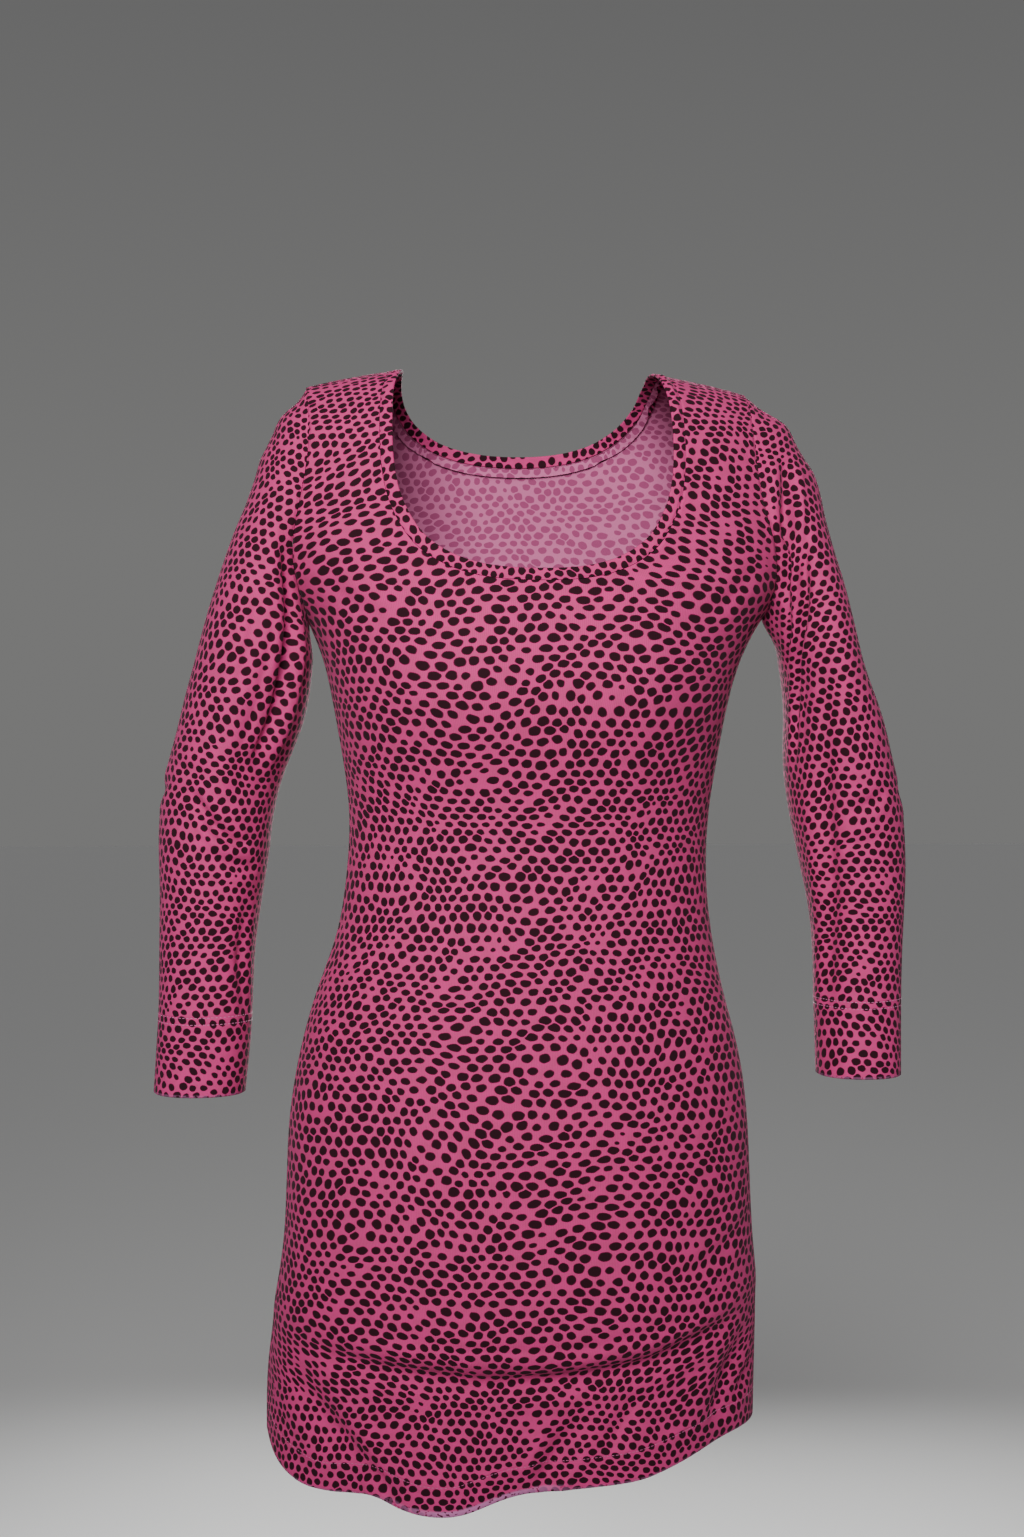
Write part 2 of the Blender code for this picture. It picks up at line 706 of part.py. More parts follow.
def build_binding(name, front, back, material):
    """Ring of folded cloth that runs on from both panels' neck edges."""
    loop = []
    for panel, nodes in ((-1, neck_nodes(*front)), (1, list(reversed(neck_nodes(*back))))):
        for index, (edge, inside, turn) in enumerate(nodes):
            at_shoulder = index in (0, len(nodes) - 1)
            if panel > 0 and at_shoulder:
                continue
            x, height = neck_edge(panel, turn, 0.0)
            lip = trunk_point(panel, trunk_angle(x, height), height)
            places = [Vector(edge), Vector(inside), Vector(lip)]
            if at_shoulder:
                for place in places:
                    place.y = 0.0
            loop.append(places)
    outer = {}
    inner = {}
    for step, (edge, inside, lip) in enumerate(loop):
        inward = (inside - edge).normalized()
        start = edge + (lip - edge).normalized() * SEAM_GAP
        for row, share in enumerate((0.0, 0.5, 1.0)):
            place = start.lerp(lip, share)
            lift = BINDING_LIFT * (1.0 if row == 1 else 0.5)
            outer[(row, step)] = place - inward * lift
            inner[(row, step)] = place + inward * (BINDING_WALL - BINDING_LIFT)
    faces = []
    count = len(loop)
    for row in range(2):
        for step in range(count):
            after = (step + 1) % count
            faces.append(((row, step), (row, after), (row + 1, after), (row + 1, step)))
    closed_wall(name, outer, inner, faces, material)


def build_dress():
    clear_scene()
    jersey = cloth_material("printed jersey", JERSEY_PINK)
    binding = cloth_material("jersey binding", BINDING_PINK)
    front = build_panel("front", -1, jersey)
    back = build_panel("back", 1, jersey)
    chest_row = front[3]
    build_sleeve("sleeve_left", -1, front[0], back[0], chest_row, jersey)
    build_sleeve("sleeve_right", 1, front[0], back[0], chest_row, jersey)
    build_binding("neck_binding", front, back, binding)


build_dress()
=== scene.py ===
"""Sheath dress in dotted stretch jersey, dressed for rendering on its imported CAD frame."""

import json
import math
from collections import namedtuple

import bmesh
import bpy
import numpy as np
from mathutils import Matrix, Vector
from mathutils.bvhtree import BVHTree

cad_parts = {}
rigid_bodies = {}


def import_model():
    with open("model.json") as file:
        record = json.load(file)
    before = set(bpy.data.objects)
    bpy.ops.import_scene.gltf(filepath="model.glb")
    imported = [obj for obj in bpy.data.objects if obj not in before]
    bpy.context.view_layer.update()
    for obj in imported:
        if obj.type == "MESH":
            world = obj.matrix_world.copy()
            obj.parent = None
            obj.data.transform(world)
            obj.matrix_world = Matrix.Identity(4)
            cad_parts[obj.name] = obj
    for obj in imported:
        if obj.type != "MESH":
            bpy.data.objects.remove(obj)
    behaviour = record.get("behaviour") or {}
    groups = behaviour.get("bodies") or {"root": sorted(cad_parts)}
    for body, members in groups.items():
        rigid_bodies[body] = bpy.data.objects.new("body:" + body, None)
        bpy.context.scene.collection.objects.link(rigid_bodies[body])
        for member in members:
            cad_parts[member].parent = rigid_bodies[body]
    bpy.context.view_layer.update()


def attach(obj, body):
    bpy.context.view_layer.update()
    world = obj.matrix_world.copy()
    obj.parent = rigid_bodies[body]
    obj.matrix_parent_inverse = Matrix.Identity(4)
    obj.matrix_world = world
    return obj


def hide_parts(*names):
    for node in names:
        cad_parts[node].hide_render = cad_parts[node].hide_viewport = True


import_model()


# ---------------------------------------------------------------------------------------------
# Camera: a level camera a little to the left of the middle, 1.7 m from the dress.
CAMERA_PLACE = (-0.1887, -1.6895, -0.287)
CAMERA_TURN = (math.radians(90), 0, math.radians(-6))
CAMERA_LENS = 53.8

camera_data = bpy.data.cameras.new("camera")
camera_data.lens = CAMERA_LENS
camera = bpy.data.objects.new("camera", camera_data)
camera.location = CAMERA_PLACE
camera.rotation_euler = CAMERA_TURN
bpy.context.collection.objects.link(camera)
bpy.context.scene.camera = camera


# ---------------------------------------------------------------------------------------------
# Light: a small soft box high in front with a narrow grid, a larger one low behind the dress, weak
# soft daylight from above in front, and a plain grey room that is brightest round the horizon.
def soft_box(name, place, aim, size, watts, spread):
    """An area light at place that points at aim, with a grid that keeps its light in a cone."""
    data = bpy.data.lights.new(name, "AREA")
    data.shape = "RECTANGLE"
    data.size, data.size_y = size
    data.energy = watts
    data.spread = math.radians(spread)
    lamp = bpy.data.objects.new(name, data)
    lamp.location = place
    lamp.rotation_euler = (Vector(aim) - Vector(place)).to_track_quat("-Z", "Y").to_euler()
    bpy.context.collection.objects.link(lamp)


soft_box(
    "front soft box", place=(-0.5, -2.0, 0.6), aim=(0, 0, -0.15), size=(1.0, 1.0), watts=12.5, spread=55
)
soft_box(
    "back soft box", place=(0.4, 2.5, 0.2), aim=(0, 0, -0.4), size=(1.6, 1.6), watts=55, spread=100
)

DAYLIGHT_STRENGTH = 0.7
DAYLIGHT_WIDTH = math.radians(50)
DAYLIGHT_TURN = (math.radians(50), 0, math.radians(-6))
daylight = bpy.data.lights.new("soft daylight", "SUN")
daylight.energy = DAYLIGHT_STRENGTH
daylight.angle = DAYLIGHT_WIDTH
sun = bpy.data.objects.new("soft daylight", daylight)
sun.rotation_euler = DAYLIGHT_TURN
bpy.context.collection.objects.link(sun)

ROOM_HORIZON = (0.184, 0.184, 0.181, 1)
ROOM_TOP = (0.08, 0.08, 0.083, 1)
HORIZON_END = 0.10
TOP_START = 0.60
room = bpy.data.worlds.new("grey room")
room.use_nodes = True
room_nodes = room.node_tree.nodes
up = room_nodes.new("ShaderNodeTexCoord")
parts = room_nodes.new("ShaderNodeSeparateXYZ")
rise = room_nodes.new("ShaderNodeValToRGB")
rise.color_ramp.elements[0].position = HORIZON_END
rise.color_ramp.elements[0].color = ROOM_HORIZON
rise.color_ramp.elements[1].position = TOP_START
rise.color_ramp.elements[1].color = ROOM_TOP
room.node_tree.links.new(up.outputs["Generated"], parts.inputs[0])
room.node_tree.links.new(parts.outputs["Z"], rise.inputs["Fac"])
room.node_tree.links.new(rise.outputs["Color"], room_nodes["Background"].inputs["Color"])
bpy.context.scene.world = room


# ---------------------------------------------------------------------------------------------
# Floor: a plain pale studio floor, well below the hem. It isn't part of the dress.
FLOOR_HEIGHT = -1.35
FLOOR_SIZE = 60
FLOOR_COLOUR = (0.76, 0.76, 0.75, 1)
FLOOR_ROUGHNESS = 0.9

bpy.ops.mesh.primitive_plane_add(size=FLOOR_SIZE, location=(0, 0, FLOOR_HEIGHT))
floor = bpy.context.active_object
floor.name = "studio_floor"
floor_paint = bpy.data.materials.new("matt pale floor")
floor_paint.use_nodes = True
floor_paint.node_tree.nodes["Principled BSDF"].inputs["Base Color"].default_value = FLOOR_COLOUR
floor_paint.node_tree.nodes["Principled BSDF"].inputs["Roughness"].default_value = FLOOR_ROUGHNESS
floor.data.materials.append(floor_paint)


# ---------------------------------------------------------------------------------------------
# Front panel: one piece of printed cotton and elastane jersey, about 0.8 mm thick, from the
# shoulders to the hem. It is stretched over the body it was cut for, sewn to the back with
# narrow overlocked seams that turn inwards, and its hem is turned up once and stitched.
CLOTH_THICKNESS = 0.0008
TURN_GAP = 0.0018
TURN_ROUND = 0.35
HEM_TURN = 0.022
HEM_STITCHES = 0.0196
RIM_WIDTH = 0.002
RIM_ANGLE = math.radians(60)
MERGE_DISTANCE = 1e-6
FAR_AWAY = 0.5


def alone(piece):
    """Make piece the only selected and active object."""
    for other in bpy.context.view_layer.objects:
        other.select_set(False)
    piece.select_set(True)
    bpy.context.view_layer.objects.active = piece


def outer_cloth(node, name, outward):
    """A new object with the outer cloth face of a CAD node, as a grid of quads."""
    source = bpy.data.objects[node]
    bm = bmesh.new()
    bm.from_mesh(source.data)
    bm.transform(source.matrix_world)
    bmesh.ops.remove_doubles(bm, verts=bm.verts, dist=MERGE_DISTANCE)

    def is_rim(face):
        return min(edge.calc_length() for edge in face.edges) < RIM_WIDTH

    way = Vector(outward)
    first = max((f for f in bm.faces if not is_rim(f)), key=lambda f: f.calc_center_median().dot(way))
    kept = {first}
    reach = [first]
    while reach:
        for edge in reach.pop().edges:
            if edge.calc_face_angle(math.pi) > RIM_ANGLE:
                continue
            for face in edge.link_faces:
                if face not in kept and not is_rim(face):
                    kept.add(face)
                    reach.append(face)
    bmesh.ops.delete(bm, geom=[f for f in bm.faces if f not in kept], context="FACES")
    bmesh.ops.join_triangles(
        bm,
        faces=bm.faces[:],
        angle_face_threshold=math.pi,
        angle_shape_threshold=math.pi,
        topology_influence=2.0,
    )
    for face in bm.faces:
        face.smooth = True
        face.material_index = 0
    mesh = bpy.data.meshes.new(name)
    bm.to_mesh(mesh)
    bm.free()
    piece = bpy.data.objects.new(name, mesh)
    bpy.context.collection.objects.link(piece)
    return piece


def add_modifier(piece, kind, **settings):
    """Add a modifier, set it, and apply it."""
    modifier = piece.modifiers.new(kind.lower(), kind)
    for key, value in settings.items():
        setattr(modifier, key, value)
    alone(piece)
    bpy.ops.object.modifier_apply(modifier=modifier.name)


def refine(piece, levels):
    """Subdivide the cloth smoothly and keep its corners."""
    add_modifier(
        piece,
        "SUBSURF",
        levels=levels,
        render_levels=levels,
        boundary_smooth="PRESERVE_CORNERS",
    )


def points_of(mesh):
    """The vertices of a mesh as an array."""
    places = np.empty(len(mesh.vertices) * 3)
    mesh.vertices.foreach_get("co", places)
    return places.reshape(-1, 3)


def normals_of(mesh):
    """The vertex normals of a mesh as an array."""
    normals = np.empty(len(mesh.vertices) * 3)
    mesh.vertices.foreach_get("normal", normals)
    return normals.reshape(-1, 3)


def put_points(mesh, places):
    """Write an array of places back to the vertices of a mesh."""
    mesh.vertices.foreach_set("co", places.ravel())
    mesh.update()


def surface_tree(mesh):
    """A search tree over the faces of a mesh."""
    return BVHTree.FromPolygons([v.co for v in mesh.vertices], [p.vertices[:] for p in mesh.polygons])


def distance_to(places, starts, ends):
    """The distance from each place to the nearest of the given straight pieces of line."""
    best = np.full(len(places), FAR_AWAY)
    for a, b in zip(starts, ends):
        way = b - a
        t = np.clip((places - a) @ way / max(way @ way, 1e-14), 0, 1)
        best = np.minimum(best, np.linalg.norm(places - a - t[:, None] * way, axis=1))
    return best


LOOKS = {"front": (0, 1, 0), "back": (0, -1, 0), "left": (1, 0, 0), "right": (-1, 0, 0)}
PATH_STEP = 0.006
PATH_SMOOTHINGS = 3


def crease_path(tree, seen_from, waypoints):
    """Waypoints (across, height) as seen from one side, put on the cloth as a smooth 3-D path."""
    look = Vector(LOOKS[seen_from])
    waypoints = np.array(waypoints, float)
    along = np.r_[0, np.cumsum(np.linalg.norm(np.diff(waypoints, axis=0), axis=1))]
    steps = np.linspace(0, along[-1], max(4, int(along[-1] / PATH_STEP)))
    across = np.interp(steps, along, waypoints[:, 0])
    height = np.interp(steps, along, waypoints[:, 1])
    path = []
    for a, h in zip(across, height):
        start = Vector((a, 0, h)) if look.y else Vector((0, a, h))
        hit = tree.ray_cast(start - look * 2, look)[0]
        if hit is not None:
            path.append(hit[:])
    path = np.array(path)
    for _ in range(PATH_SMOOTHINGS):
        path[1:-1] = (path[:-2] + 2 * path[1:-1] + path[2:]) / 4
    return path


Crease = namedtuple("Crease", "seen_from half_width depths waypoints")
CREASE_FADE = 0.010
DEPTH_SHARES = (0, 0.12, 0.5, 0.88, 1)
LIP_START = 0.8
LIP_WIDTH = 1.4
LIP_HEIGHT = 0.22


def crease(piece, table, seams):
    """Press soft troughs and ridges into the cloth, fading out at its sewn edges. A crease has the
    side it is seen from, its half width, its depth at the start, middle and end (below zero for a
    ridge), and its waypoints (across, height)."""
    mesh = piece.data
    places = points_of(mesh)
    normals = normals_of(mesh)
    tree = surface_tree(mesh)
    move = np.zeros(len(places))
    for seen_from, half_width, depths, waypoints in table:
        path = crease_path(tree, seen_from, waypoints)
        ends = path[1:] - path[:-1]
        lengths = np.linalg.norm(ends, axis=1)
        total = lengths.sum()
        done = np.r_[0, np.cumsum(lengths)]
        nearest = np.full(len(places), FAR_AWAY)
        share = np.zeros(len(places))
        for i in range(len(ends)):
            offset = places - path[i]
            t = np.clip(offset @ ends[i] / max(lengths[i] ** 2, 1e-12), 0, 1)
            apart = np.linalg.norm(offset - t[:, None] * ends[i], axis=1)
            closer = apart < nearest
            nearest[closer] = apart[closer]
            share[closer] = ((done[i] + t * lengths[i]) / total)[closer]
        depth = np.interp(share, DEPTH_SHARES, (0, *depths, 0))
        reach = nearest / half_width
        trough = np.where(reach < 1, (1 - reach**2) ** 2, 0)
        over_lip = (reach - LIP_START) / LIP_WIDTH
        lip = np.where((over_lip > 0) & (over_lip < 1), np.sin(over_lip * math.pi) ** 2, 0)
        move -= depth * (trough - LIP_HEIGHT * lip)
    for line in seams:
        on_line = places[line]
        move *= np.clip(distance_to(places, on_line[:-1], on_line[1:]) / CREASE_FADE, 0, 1)
    put_points(mesh, places + normals * move[:, None])


def edge_loops(bm):
    """The open edges of a mesh, as lists of vertices in order round each loop."""
    left = {e for e in bm.edges if e.is_boundary}
    loops = []
    while left:
        edge = min(left, key=lambda e: e.index)
        left.remove(edge)
        loop = [edge.verts[0], edge.verts[1]]
        while True:
            following = [e for e in loop[-1].link_edges if e in left]
            if not following:
                break
            left.remove(following[0])
            loop.append(following[0].other_vert(loop[-1]))
        loops.append(loop)
    return loops


def edge_lines(piece):
    """The lines of vertices along the open edges of the cloth, from corner to corner."""
    bm = bmesh.new()
    bm.from_mesh(piece.data)
    lines = []
    for loop in edge_loops(bm):
        ring = loop[:-1]
        corners = [i for i, v in enumerate(ring) if len(v.link_edges) == 2]
        if not corners:
            lines.append([v.index for v in loop])
            continue
        ring = ring[corners[0] :] + ring[: corners[0] + 1]
        line = [ring[0].index]
        for v in ring[1:]:
            line.append(v.index)
            if len(v.link_edges) == 2:
                lines.append(line)
                line = [v.index]
    bm.free()
    return lines


def keep_values(mesh, name, values):
    """Store one number for each vertex, which the cloth's material reads."""
    attribute = mesh.attributes.get(name) or mesh.attributes.new(name, "FLOAT", "POINT")
    attribute.data.foreach_set("value", np.array(values, dtype=np.float32))


Stretch = namedtuple("Stretch", "height across along")


def lay_flat(piece, grain, stretch):
    """Give the cloth a UV map in metres, as it lies before it is sewn: grain is the side that it
    is laid out from, and stretch a table of how far it is stretched in wear, by height."""
    alone(piece)
    bpy.ops.object.mode_set(mode="EDIT")
    bpy.ops.mesh.select_all(action="SELECT")
    bpy.ops.uv.unwrap(method="ANGLE_BASED", margin=0)
    bpy.ops.object.mode_set(mode="OBJECT")
    mesh = piece.data
    corners = np.empty(len(mesh.loops), dtype=int)
    mesh.loops.foreach_get("vertex_index", corners)
    uv = np.empty(len(mesh.loops) * 2)
    mesh.uv_layers.active.data.foreach_get("uv", uv)
    uv = uv.reshape(-1, 2)
    flat_area = 0
    for polygon in mesh.polygons:
        loop = uv[polygon.loop_start : polygon.loop_start + polygon.loop_total]
        after = np.roll(loop, -1, axis=0)
        flat_area += abs((loop[:, 0] * after[:, 1] - loop[:, 1] * after[:, 0]).sum()) / 2
    uv *= math.sqrt(sum(p.area for p in mesh.polygons) / flat_area)
    places = points_of(mesh)[corners]
    fit = np.linalg.lstsq(np.c_[uv, np.ones(len(uv))], places[:, 2], rcond=None)[0]
    turn = math.atan2(fit[0], fit[1])
    c, s = math.cos(turn), math.sin(turn)
    uv = uv @ np.array(((c, s), (-s, c)))
    middle = np.abs(places @ np.array(grain)).argsort()[: len(uv) // 10]
    uv[:, 0] -= uv[middle, 0].mean()
    uv[:, 1] -= uv[:, 1].min()
    table = np.array(stretch)
    uv[:, 0] /= 1 + np.interp(places[:, 2], table[:, 0], table[:, 1])
    way = np.linspace(0, uv[:, 1].max(), 200)
    shrink = 1 / (1 + np.interp(way + places[:, 2].min(), table[:, 0], table[:, 2]))
    uv[:, 1] = np.interp(uv[:, 1], way, np.cumsum(shrink) * (way[1] - way[0]))
    mesh.uv_layers.active.data.foreach_set("uv", uv.ravel())
    mesh.uv_layers.active.name = "cloth in metres"


def turn_under(piece, line, width):
    """Fold the cloth back inside itself along a line of edge vertices, as a second layer."""
    places = points_of(piece.data)
    on_line = places[line]
    near = distance_to(places, on_line[:-1], on_line[1:]) < width
    bm = bmesh.new()
    bm.from_mesh(piece.data)
    bm.verts.ensure_lookup_table()
    bm.normal_update()
    layer = bm.loops.layers.uv.active
    cloth = bm.verts[:]
    faces = [f for f in bm.faces if all(near[v.index] for v in f.verts)]
    inner = {}
    for face in faces:
        for v in face.verts:
            if v not in inner:
                inner[v] = bm.verts.new(v.co - v.normal * TURN_GAP, v)
    for face in faces:
        copy = bm.faces.new([inner[v] for v in reversed(face.verts)], face)
        for new, old in zip(copy.loops, reversed(face.loops[:])):
            new[layer].uv = old[layer].uv
    fold = {}
    for index in dict.fromkeys(line):
        v = cloth[index]
        inside = [e.other_vert(v) for e in v.link_edges if not e.is_boundary]
        inside = [other for other in inside if other in inner]
        outwards = (v.co - inside[0].co).normalized() if inside else Vector((0, 0, -1))
        fold[v] = bm.verts.new((v.co + inner[v].co) / 2 + outwards * TURN_GAP * TURN_ROUND, v)
    for first, second in zip(line[:-1], line[1:]):
        a, b = cloth[first], cloth[second]
        edge = bm.edges.get((a, b))
        face = next(f for f in edge.link_faces if f in faces)
        corner = next(loop for loop in face.loops if loop.vert is a)
        if corner.link_loop_next.vert is not b:
            a, b = b, a
        uvs = {loop.vert: loop[layer].uv.copy() for loop in face.loops}
        for ring in ((b, a, fold[a], fold[b]), (fold[b], fold[a], inner[a], inner[b])):
            strip = bm.faces.new(ring, face)
            for loop, v in zip(strip.loops, (b, a, a, b)):
                loop[layer].uv = uvs[v]
    bm.to_mesh(piece.data)
    bm.free()


SeamFold = namedtuple("SeamFold", "inwards over")
OPEN_SEAM = (SeamFold(0.005, 0.0003),)
NECK_SEAM = (SeamFold(0.0018, 0.0), SeamFold(0.0018, -0.005))


def turn_seams(piece, groups):
    """Turn the sewn edges inwards as narrow allowances with crisp folds. A group is some lines and
    the folds of their allowance: how far inwards, and how far over the neighbour, each one lies."""
    bm = bmesh.new()
    bm.from_mesh(piece.data)
    bm.verts.ensure_lookup_table()
    bm.normal_update()
    layer = bm.loops.layers.uv.active
    ways = {}
    for index in (i for lines, _ in groups for line in lines for i in line):
        v = bm.verts[index]
        away = v.co - sum((f.calc_center_median() for f in v.link_faces), Vector()) / len(v.link_faces)
        away -= v.normal * away.dot(v.normal)
        flat = v.link_loops[0][layer].uv.copy()
        beside = [loop[layer].uv for face in v.link_faces for loop in face.loops]
        flat_away = (flat - sum(beside, Vector((0, 0))) / len(beside)).normalized()
        ways[v] = (v.co.copy(), v.normal.copy(), away.normalized(), flat, flat_away)
    for lines, folds in groups:
        bm.verts.ensure_lookup_table()
        pairs = [pair for line in lines for pair in zip(line[:-1], line[1:])]
        edges = list(dict.fromkeys(bm.edges.get((bm.verts[a], bm.verts[b])) for a, b in pairs))
        at = {v: ways[v] for edge in edges for v in edge.verts}
        lengths = [math.dist(old, new) for old, new in zip(((0, 0),) + folds, folds)]
        travel = 0
        for (inwards, over), length in zip(folds, lengths):
            for edge in edges:
                edge.smooth = False
            grown = bmesh.ops.extrude_edge_only(bm, edges=edges)["geom"]
            after = {}
            for v in (g for g in grown if isinstance(g, bmesh.types.BMVert)):
                base = next(e.other_vert(v) for e in v.link_edges if e.other_vert(v) in at)
                after[v] = at[base]
                place, normal, outward = at[base][:3]
                v.co = place - normal * inwards + outward * over
            for loop in (loop for g in grown if isinstance(g, bmesh.types.BMFace) for loop in g.loops):
                reached = travel + length if loop.vert in after else travel
                flat, flat_away = (after.get(loop.vert) or at[loop.vert])[3:]
                loop[layer].uv = flat + flat_away * reached
            travel += length
            at = after
            edges = [g for g in grown if isinstance(g, bmesh.types.BMEdge)]
            edges = [edge for edge in edges if all(v in at for v in edge.verts)]
    bm.to_mesh(piece.data)
    bm.free()


def thicken(piece):
    """Give the cloth its thickness, with the reverse side as the second material."""
    add_modifier(
        piece,
        "SOLIDIFY",
        thickness=CLOTH_THICKNESS,
        offset=-1,
        use_rim=True,
        use_quality_normals=True,
        material_offset=1,
        material_offset_rim=0,
    )
    for polygon in piece.data.polygons:
        polygon.use_smooth = True


def level_line(piece, values, level, guide):
    """The line on the cloth where values has a given level, as places and normals in order
    along the guide line."""
    mesh = piece.data
    places = points_of(mesh)
    normals = normals_of(mesh)
    edges = np.empty(len(mesh.edges) * 2, dtype=int)
    mesh.edges.foreach_get("vertices", edges)
    edges = edges.reshape(-1, 2)
    low, high = values[edges[:, 0]] - level, values[edges[:, 1]] - level
    cut = low * high < 0
    t = (low[cut] / (low[cut] - high[cut]))[:, None]
    first, second = edges[cut, 0], edges[cut, 1]
    on_line = places[first] * (1 - t) + places[second] * t
    out = normals[first] * (1 - t) + normals[second] * t
    spot = np.array([((guide - p) ** 2).sum(axis=1).argmin() for p in on_line])
    order = spot.argsort(kind="stable")
    _, single = np.unique(spot[order], return_index=True)
    keep = order[single]
    return on_line[keep], out[keep] / np.linalg.norm(out[keep], axis=1)[:, None]


STITCH_SIDES = 6
STITCH_RADIUS = 0.00026
STITCH_PITCH = 0.0030
STITCH_LENGTH = 0.0025
STITCH_SINK = 1.6
STITCH_RISE = 0.25
STITCH_PROFILE = ((-0.5, 0.25), (-0.44, 0.8), (-0.2, 1.0), (0.2, 1.0), (0.44, 0.8), (0.5, 0.25))


def sew(name, rows, closed=False):
    """One object with all the stitches of some rows: each row is places and normals. A stitch is
    a short round bit of thread that sinks into the cloth at both ends."""
    verts = []
    faces = []
    for places, normals in rows:
        if closed:
            places = np.vstack((places, places[:1]))
            normals = np.vstack((normals, normals[:1]))
        along = np.r_[0, np.cumsum(np.linalg.norm(np.diff(places, axis=0), axis=1))]
        count = int(along[-1] / STITCH_PITCH)
        for k in range(count):
            middle = (k + 0.5) * along[-1] / count
            ends = [
                np.array([np.interp(middle + o, along, places[:, i]) for i in range(3)])
                for o in (-STITCH_LENGTH / 2, STITCH_LENGTH / 2)
            ]
            out = np.array([np.interp(middle, along, normals[:, i]) for i in range(3)])
            way = ends[1] - ends[0]
            side = np.cross(out, way)
            side /= max(np.linalg.norm(side), 1e-9)
            up = np.cross(way, side)
            up /= max(np.linalg.norm(up), 1e-9)
            base = len(verts)
            for t, swell in STITCH_PROFILE:
                sunk = STITCH_SINK * abs(t * 2) ** 3 - STITCH_RISE
                centre = (ends[0] + ends[1]) / 2 + way * t - up * STITCH_RADIUS * sunk
                for j in range(STITCH_SIDES):
                    angle = 2 * math.pi * j / STITCH_SIDES
                    round_it = side * math.cos(angle) + up * math.sin(angle)
                    verts.append(centre + round_it * STITCH_RADIUS * swell)
            rings = len(STITCH_PROFILE)
            for r in range(rings - 1):
                for j in range(STITCH_SIDES):
                    n = (j + 1) % STITCH_SIDES
                    a = base + r * STITCH_SIDES
                    faces.append((a + j, a + n, a + STITCH_SIDES + n, a + STITCH_SIDES + j))
            faces.append(tuple(base + j for j in reversed(range(STITCH_SIDES))))
            faces.append(tuple(base + (rings - 1) * STITCH_SIDES + j for j in range(STITCH_SIDES)))
    mesh = bpy.data.meshes.new(name)
    mesh.from_pydata([tuple(v) for v in verts], [], faces)
    for polygon in mesh.polygons:
        polygon.use_smooth = True
    piece = bpy.data.objects.new(name, mesh)
    bpy.context.collection.objects.link(piece)
    return piece


def linear(code):
    """A colour written as sRGB hex, as the linear value that a shader takes."""
    parts = [int(code[i : i + 2], 16) / 255 for i in (0, 2, 4)]
    return tuple(c / 12.92 if c <= 0.04045 else ((c + 0.055) / 1.055) ** 2.4 for c in parts) + (1,)


def add_node(tree, kind, settings=None, **links):
    """Add a shader node with its settings. A link is an input's name, or in0, in1 for its place,
    with another node's output or a fixed value."""
    node = tree.nodes.new(kind)
    for key, value in (settings or {}).items():
        setattr(node, key, value)
    for key, value in links.items():
        place = int(key[2:]) if key[:2] == "in" and key[2:].isdigit() else key.replace("_", " ")
        socket = node.inputs[place]
        if isinstance(value, bpy.types.NodeSocket):
            tree.links.new(value, socket)
        else:
            socket.default_value = value
    return node


def maths(tree, operation, *values):
    """A Math node's output."""
    links = {f"in{i}": value for i, value in enumerate(values)}
    return add_node(tree, "ShaderNodeMath", {"operation": operation}, **links).outputs[0]


def ramp(tree, value, low, high, start=0.0, end=1.0):
    """value taken smoothly from low..high to start..end."""
    settings = {"interpolation_type": "SMOOTHSTEP", "clamp": True}
    names = {"From_Min": low, "From_Max": high, "To_Min": start, "To_Max": end}
    return add_node(tree, "ShaderNodeMapRange", settings, Value=value, **names).outputs[0]


def blend_colours(tree, share, first, second):
    """The mix of two colours."""
    mix = tree.nodes.new("ShaderNodeMix")
    mix.data_type = "RGBA"
    sockets = [s for s in mix.inputs if s.type == "RGBA"]
    for socket, value in ((mix.inputs[0], share), (sockets[0], first), (sockets[1], second)):
        if isinstance(value, bpy.types.NodeSocket):
            tree.links.new(value, socket)
        else:
            socket.default_value = value
    return next(s for s in mix.outputs if s.type == "RGBA")


GROUND = linear("aa2e66")
GROUND_DULL = linear("a03260")
# Painted shade: the darker pink that the ground takes in the hollows of the knit.
GROUND_IN_KNIT_SHADE = linear("8a2150")
DOT = linear("1e040d")
DOT_THIN = linear("400b20")
REVERSE = linear("a15579")
REVERSE_DOT = linear("7d3558")
WORN_EDGE = linear("a0608a")
SHEEN_TINT = linear("e9b6cc")
WALE = 0.0008
COURSE = 0.0006
DOT_SPACING = 0.0070
DOT_RADIUS = 0.39
DOT_RADIUS_POWER = 0.11
DOT_JITTER = 0.22
DOT_GAP = 0.10
WANDERS = ((11.0, 0.014), (42.0, 0.0042), (330.0, 0.0007))


def vector_maths(tree, operation, *values):
    """A Vector Math node's output."""
    links = {f"in{i}": value for i, value in enumerate(values)}
    node = add_node(tree, "ShaderNodeVectorMath", {"operation": operation}, **links)
    return node.outputs["Value" if operation == "LENGTH" else "Vector"]


def wander(tree, place, scale, reach):
    """A place moved about by soft noise, up to half of reach each way."""
    flat_noise = {"noise_dimensions": "2D"}
    noise = add_node(tree, "ShaderNodeTexNoise", flat_noise, Vector=place, Scale=scale, Detail=0.0)
    off_middle = vector_maths(tree, "SUBTRACT", noise.outputs["Color"], (0.5, 0.5, 0.5))
    return vector_maths(tree, "MULTIPLY_ADD", off_middle, (reach, reach, 0), place)


